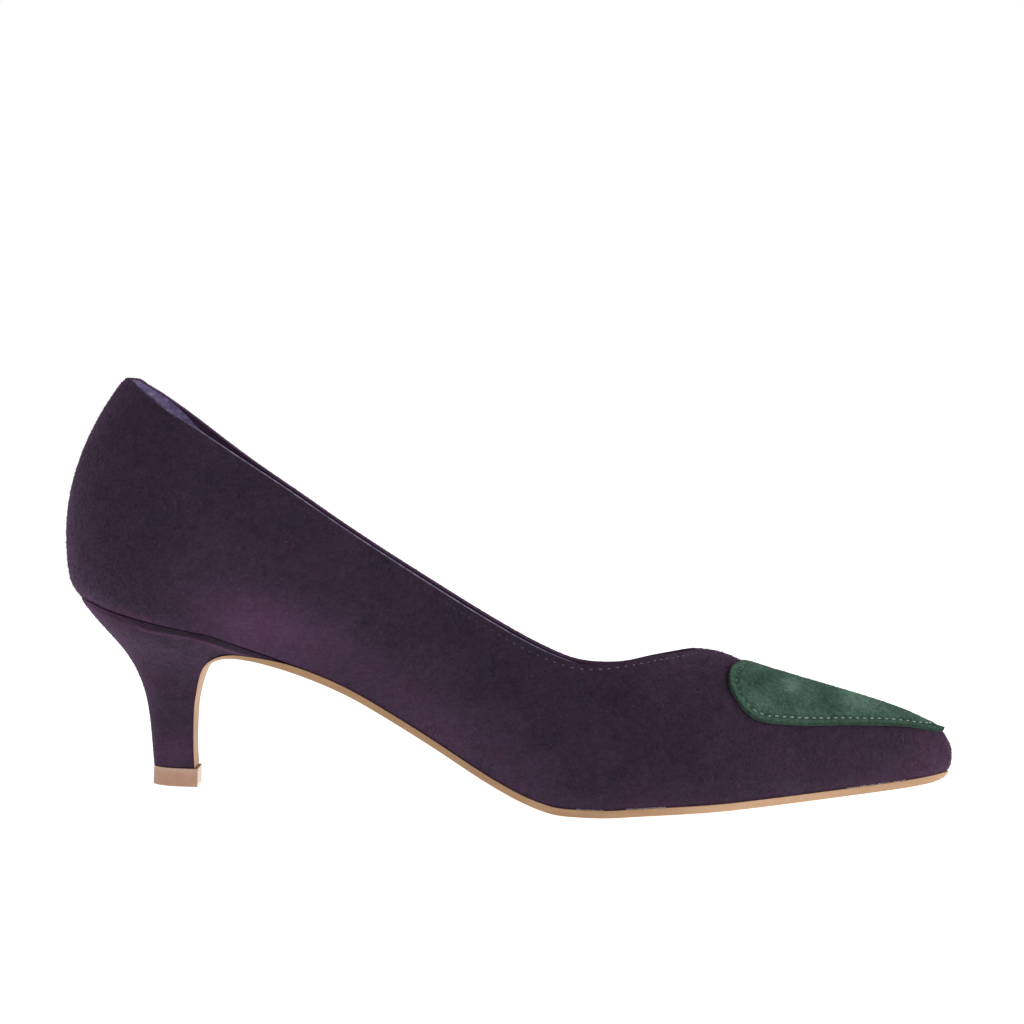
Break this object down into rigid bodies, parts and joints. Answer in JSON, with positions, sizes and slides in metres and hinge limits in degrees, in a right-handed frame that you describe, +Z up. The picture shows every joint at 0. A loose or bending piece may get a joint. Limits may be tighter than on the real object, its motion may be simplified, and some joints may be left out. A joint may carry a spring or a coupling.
{
  "type": "heeled shoe",
  "caption": "Pointed court shoe in aubergine suede on a low curved heel, with a stitched green heart patch over the toe, thin tan leather sole and leather lining.",
  "frame": {"origin": "on the floor, under the middle of the shoe's box", "axes": "+X points to the toe, +Y to the inner side of a right foot, +Z up"},
  "size_m": [0.253, 0.0752, 0.115],
  "materials": {
    "upper_suede": "napped suede",
    "lining_leather": "smooth satin leather",
    "sole_leather": "smooth leather with a plain cut edge",
    "heel_suede": "napped suede",
    "top_piece": "matt",
    "heart_suede": "napped suede"
  },
  "bodies": {
    "root": {"upper": "upper_suede", "insole": "lining_leather", "outsole": "sole_leather", "heel": "heel_suede", "top_piece": "top_piece", "heart_patch": "heart_suede"}
  },
  "joints": []
}
